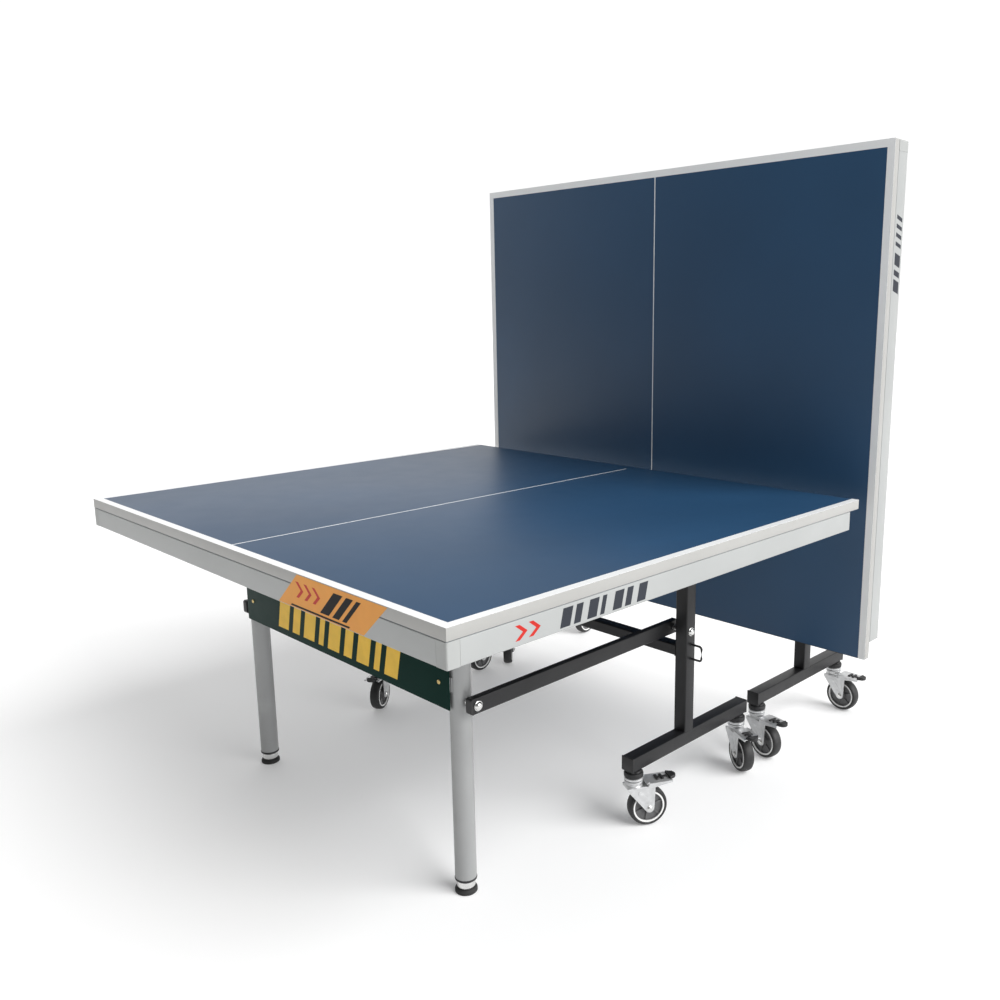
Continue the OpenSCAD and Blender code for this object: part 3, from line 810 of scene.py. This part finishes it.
def build_fork(bm):
    z, foot = RACE_Z, CROWN + 0.0022
    # turning race over the pressed dome of the crown
    race = [(0, z - 0.0006), (0.0205, z - 0.0006), (0.0226, z - 0.0016), (0.0232, z - 0.0042)]
    race += [(0.0224, z - 0.0064), (0.0204, z - 0.0082), (0.0200, z - 0.0100), (0.0206, z - 0.0118)]
    race += [(0.0222, z - 0.0140), (0.0226, foot), (0, foot)]
    lathe(bm, race, None, 72)
    # cheek: a V from the crown down to the axle boss, running on into the brake's ear
    t = TRAIL
    cheek = [(-0.0212, CROWN + 0.0035), (-0.0208, CROWN - 0.0030)] + arc(t, WHEEL_R, 0.0118, 212, 360)
    cheek += [(t + 0.0128, WHEEL_R + 0.020), (t + 0.0140, CROWN - 0.008), (t + 0.0140, PEDAL_Z + 0.004)]
    cheek += [(t - 0.004, PEDAL_Z + 0.006), (t - 0.006, CROWN + 0.0035)]
    # pressed rib down the middle of the cheek
    rib = arc(t - 0.003, WHEEL_R + 0.017, 0.0042, 205, 385) + arc(0.010, CROWN - 0.012, 0.0055, 25, 205)
    for s in (-1, 1):
        upright(bm, cheek, s * CHEEK_Y, 0.0025, 0.0005)
        upright(bm, rib, s * (CHEEK_Y + 0.0010), 0.0016, 0.0006)
    block(bm, (-0.0195, -CHEEK_Y, CROWN), (t + 0.004, CHEEK_Y, CROWN + 0.0040), 0.0014, 3)


def build_axle(bm):
    out = CHEEK_Y + 0.00125
    rod(bm, (TRAIL, -out, WHEEL_R), (TRAIL, out, WHEEL_R), 0.004)
    washer = [(0, 0), (0.0080, 0), (0.0080, 0.0012), (0, 0.0012)]
    for s in (-1, 1):
        lathe(bm, washer, T((TRAIL, s * out, WHEEL_R)) @ turn(-90 * s, "X"), 32)
        hexnut(bm, TRAIL, s * (out + 0.0010), WHEEL_R, s, 0.0066, 0.0026, 0.0011)


def both_sides(half):
    """Closed lathe outline from the outline of its upper side."""
    return [(r, -z) for r, z in half] + [(r, z) for r, z in half[::-1]]


def build_tyre(bm):
    r, w = WHEEL_R, WHEEL_W / 2
    half = [(r - 0.0092, w - 0.0012), (r - 0.0078, w), (r - 0.0044, w - 0.0003), (r - 0.0020, w - 0.0024)]
    half += [(r - 0.0006, w - 0.0062), (r, w - 0.0115)]
    lathe(bm, both_sides(half), WHEEL, 96, loop=True)


def build_ring(bm):
    """Pale ring between the hub and the tyre, on each side."""
    r, lo, hi = WHEEL_R, WHEEL_W / 2 - 0.0030, WHEEL_W / 2 - 0.0006
    for s in (-1, 1):
        ring = [(r - 0.0136, s * lo), (r - 0.0132, s * hi), (r - 0.0096, s * hi), (r - 0.0091, s * lo)]
        lathe(bm, ring, WHEEL, 96, loop=True)


def build_hub(bm):
    outer, w = WHEEL_R - 0.0090, WHEEL_W / 2
    half = [(outer, w - 0.0026), (outer - 0.0042, w - 0.0026), (outer - 0.0052, w - 0.0072)]
    half += [(0.0150, w - 0.0088), (0.0126, w - 0.0020), (0.0118, w + 0.0030), (0.0043, w + 0.0030)]
    lathe(bm, both_sides(half), WHEEL, 96, loop=True)
    # six spokes in the dish of each side
    for s in (-1, 1):
        z = sorted((s * (w - 0.0092), s * (w - 0.0046)))
        for k in range(6):
            lo, hi = (0.0115, -0.0017, z[0]), (outer - 0.0036, 0.0017, z[1])
            block(bm, lo, hi, 0.0009, 2, WHEEL @ turn(60 * k + 18, "Z"))


def build_pedal(bm):
    z, tip = PLATE_Z, LEVER_TIP
    block(bm, (PEDAL_X - 0.0115, -ARM_Y - 0.001, z), (tip, ARM_Y + 0.001, z + 0.0024), 0.0010, 3)
    # side flange, deep at the pivot and shallow at the tip
    flange = arc(PEDAL_X, PEDAL_Z - 0.001, 0.0068, 180, 270) + [(PEDAL_X + 0.012, z - 0.0095)]
    flange += [(0.0760, z - 0.0048), (tip, z - 0.0030), (tip, z + 0.0022), (PEDAL_X - 0.004, z + 0.0022)]
    for s in (-1, 1):
        upright(bm, flange, s * (ARM_Y + 0.0013), 0.0026, 0.0004)
    rod(bm, (PEDAL_X, -ARM_Y - 0.0015, PEDAL_Z), (PEDAL_X, ARM_Y + 0.0015, PEDAL_Z), 0.003, 0.0006, 24)


def build_pedal_pads(bm):
    """Rounded toe piece, and the two-armed release on the plate."""
    z, middle = PLATE_Z, 0.1
    toe = [(-0.0095, -0.0185)] + arc(-0.0045, 0, 0.0145, -78, 78, 13) + [(-0.0095, 0.0185)]
    plate(bm, toe, 0.0080, T((middle, 0, z + 0.0006)), 0.0016)
    for x in (0.0560, 0.0690):
        block(bm, (x, -0.0125, z + 0.0018), (x + 0.0075, 0.0125, z + 0.0062), 0.0018, 3)
    block(bm, (0.0560, -0.0045, z + 0.0018), (0.0880, 0.0045, z + 0.0050), 0.0014, 3)


def build_pedal_ribs(bm):
    z = PLATE_Z
    for k in range(4):
        x = 0.0945 + 0.0034 * k
        block(bm, (x, -0.0105, z + 0.0080), (x + 0.0014, 0.0105, z + 0.0092), 0.0004, 1)


# ---- the pieces of a half: its part, name, finish, builder and the CAD nodes it stands for ----
HALF_PIECES = (
    ("top", "playing_board", "board", build_board, ["board"]),
    ("top", "board_backing", "backing", build_backing, []),
    ("top", "edge_bands", "edge", build_edges, []),
    ("top", "net_edge_band", "net_edge", build_net_edge, []),
    ("top", "apron_rails", "apron", build_apron, ["apron"]),
    ("top", "corner_caps", "cap", build_caps, ["corner_caps"]),
    ("top", "underframe_rails", "frame", build_underframe, ["underframe"]),
    ("top", "underframe_screws", "bolt", build_frame_screws, []),
    ("top", "clevises", "frame", build_clevises, ["brackets"]),
    ("top", "pivot_pins", "zinc", build_pins, []),
    ("top", "end_label", "orange", build_end_label, []),
    ("top", "end_label_bars", "ink", build_end_bars, []),
    ("top", "end_label_chevrons", "red", build_end_chevrons, []),
    ("top", "side_print", "slate", build_side_print, []),
    ("top", "side_print_chevrons", "red", build_side_chevrons, []),
    ("trolley", "side_frames", "frame", build_side_frames, ["frame_left", "frame_right"]),
    ("trolley", "cross_tube", "frame", build_crossbar, ["crossbar"]),
    ("trolley", "beam_caps_and_collars", "plug", build_beam_caps, []),
    ("trolley", "caster_races", "zinc", build_races, []),
    ("trolley", "link_bolts", "bolt", build_trolley_bolts, ["fittings"]),
    ("trolley", "storage_loops", "frame", build_loops, ["loops"]),
    ("leg_frame", "leg_tubes", "leg", build_leg_tubes, ["legs"]),
    ("leg_frame", "leg_rings", "plug", build_leg_rings, []),
    ("leg_frame", "leg_bolts", "bolt", build_leg_bolts, ["leg_fittings"]),
    ("leg_frame", "banner_tabs", "leg", build_tabs, []),
    ("leg_frame", "banner_plate", "banner", build_banner, ["banner"]),
    ("leg_frame", "banner_screws", "brass", build_banner_screws, []),
    ("leg_frame", "banner_print", "gold", build_banner_print, []),
)
# one of each on the left and the right
SIDE_PIECES = (
    ("link", "link", "frame", build_link, ["link"]),
    ("link", "link_caps", "plug", build_link_caps, []),
    ("foot", "foot_base", "rubber", build_foot_base, ["foot"]),
    ("foot", "foot_nut", "bolt", build_foot_nut, []),
)
# one of each on every caster
CASTER_PIECES = (
    ("caster", "fork", "zinc", build_fork, ["fork"]),
    ("caster", "axle", "bolt", build_axle, []),
    ("caster_wheel", "tyre", "tyre", build_tyre, ["wheel"]),
    ("caster_wheel", "tyre_ring", "ring", build_ring, []),
    ("caster_wheel", "hub", "hub", build_hub, []),
    ("caster_pedal", "brake_lever", "zinc", build_pedal, ["pedal"]),
    ("caster_pedal", "brake_pads", "pad", build_pedal_pads, []),
    ("caster_pedal", "brake_tread_ribs", "pad", build_pedal_ribs, []),
)

for half in ("near", "far"):
    # the painted lines stay as the CAD drew them, in white
    lines = frame["nodes"][f"{half}_lines"].data.materials
    lines.clear()
    lines.append(MAT["line"])
    for part, name, mat, build, nodes in HALF_PIECES:
        stands_for = [f"{half}_{node}" for node in nodes]
        add(f"{half}_{name}", mat, build, PLACE[half, part], f"{half}_{part}", stands_for)
    for side, s in (("left", -1), ("right", 1)):
        for part, name, mat, build, nodes in SIDE_PIECES:
            stands_for = [f"{half}_{node}_{side}" for node in nodes]
            body = f"{half}_{part}_{side}"
            add(f"{half}_{name}_{side}", mat, lambda bm: build(bm, s), PLACE[half, part], body, stands_for)

for k in range(1, 9):
    axis, axle = JOINT[f"caster_{k}_swivel"], JOINT[f"caster_{k}_roll"]
    heading = math.degrees(math.atan2(axle.y - axis.y, axle.x - axis.x))
    seat = T((axis.x, axis.y, 0)) @ turn(heading, "Z")
    for part, name, mat, build, nodes in CASTER_PIECES:
        add(f"{name}_{k}", mat, build, seat, f"{part}_{k}", [f"{node}_{k}" for node in nodes])

# ---- floor, light and camera ----
FLOOR = 40  # half the floor's side
floor_mesh = bpy.data.meshes.new("floor")
corners = [(x * FLOOR, y * FLOOR, 0) for x, y in ((-1, -1), (1, -1), (1, 1), (-1, 1))]
floor_mesh.from_pydata(corners, [], [(0, 1, 2, 3)])
floor = bpy.data.objects.new("floor", floor_mesh)
pale = surface(
    "floor", (0.86, 0.86, 0.86), 0.7,
    spread=0.004, blotch=0.5, bump=0.0, rough_spread=0.02, gloss=0.2, glow=0.2,
)
floor_mesh.materials.append(pale)
bpy.context.scene.collection.objects.link(floor)

# white studio: full strength beyond the table, dimmer on the end where the camera stands
world = bpy.data.worlds.new("studio")
world.use_nodes = True
nodes, links = world.node_tree.nodes, world.node_tree.links
away = nodes.new("ShaderNodeVectorMath")
away.operation = "DOT_PRODUCT"
away.inputs[1].default_value = (0.78, 0.62, 0.0)  # level, from the camera's side to beyond the table
strength = nodes.new("ShaderNodeMapRange")
strength.inputs["From Min"].default_value = -0.25
strength.inputs["From Max"].default_value = 0.78
strength.inputs["To Min"].default_value = 0.25
strength.inputs["To Max"].default_value = 1.06
links.new(nodes.new("ShaderNodeTexCoord").outputs["Generated"], away.inputs[0])
links.new(away.outputs["Value"], strength.inputs["Value"])
links.new(strength.outputs["Result"], nodes["Background"].inputs["Strength"])
nodes["Background"].inputs["Color"].default_value = (1, 1, 1, 1)
bpy.context.scene.world = world

# a wide soft key light from the right of the camera, shining down and across the table
KEY_SHINES = Vector((-0.22, 0.78, -0.60))
key = bpy.data.lights.new("key", "SUN")
key.energy = 3.7
key.angle = math.radians(50)
key_lamp = bpy.data.objects.new("key", key)
key_lamp.rotation_euler = KEY_SHINES.to_track_quat("-Z", "Y").to_euler()
bpy.context.scene.collection.objects.link(key_lamp)

scene = bpy.context.scene
scene.view_settings.view_transform = "Standard"
scene.view_settings.look = "None"

cam = bpy.data.cameras.new("camera")
cam.sensor_width = 36.0
cam.lens = 0.9341 * cam.sensor_width
cam.shift_x = -0.0582
cam.shift_y = -0.0035
cam.clip_end = 200
camera = bpy.data.objects.new("camera", cam)
# the view, solved from the corners of the two tops: where the camera stands and how it is turned
EYE = Vector((CENTRE - 2.245, -1.885, 1.257))
right = Vector((0.7033, -0.7109, -0.0082)).normalized()
forward = Vector((0.696, 0.690, -0.198)).normalized()
forward = (forward - right * forward.dot(right)).normalized()
up = right.cross(forward)
camera.matrix_world = T(EYE) @ Matrix((right, up, -forward)).transposed().to_4x4()
scene.collection.objects.link(camera)
scene.camera = camera
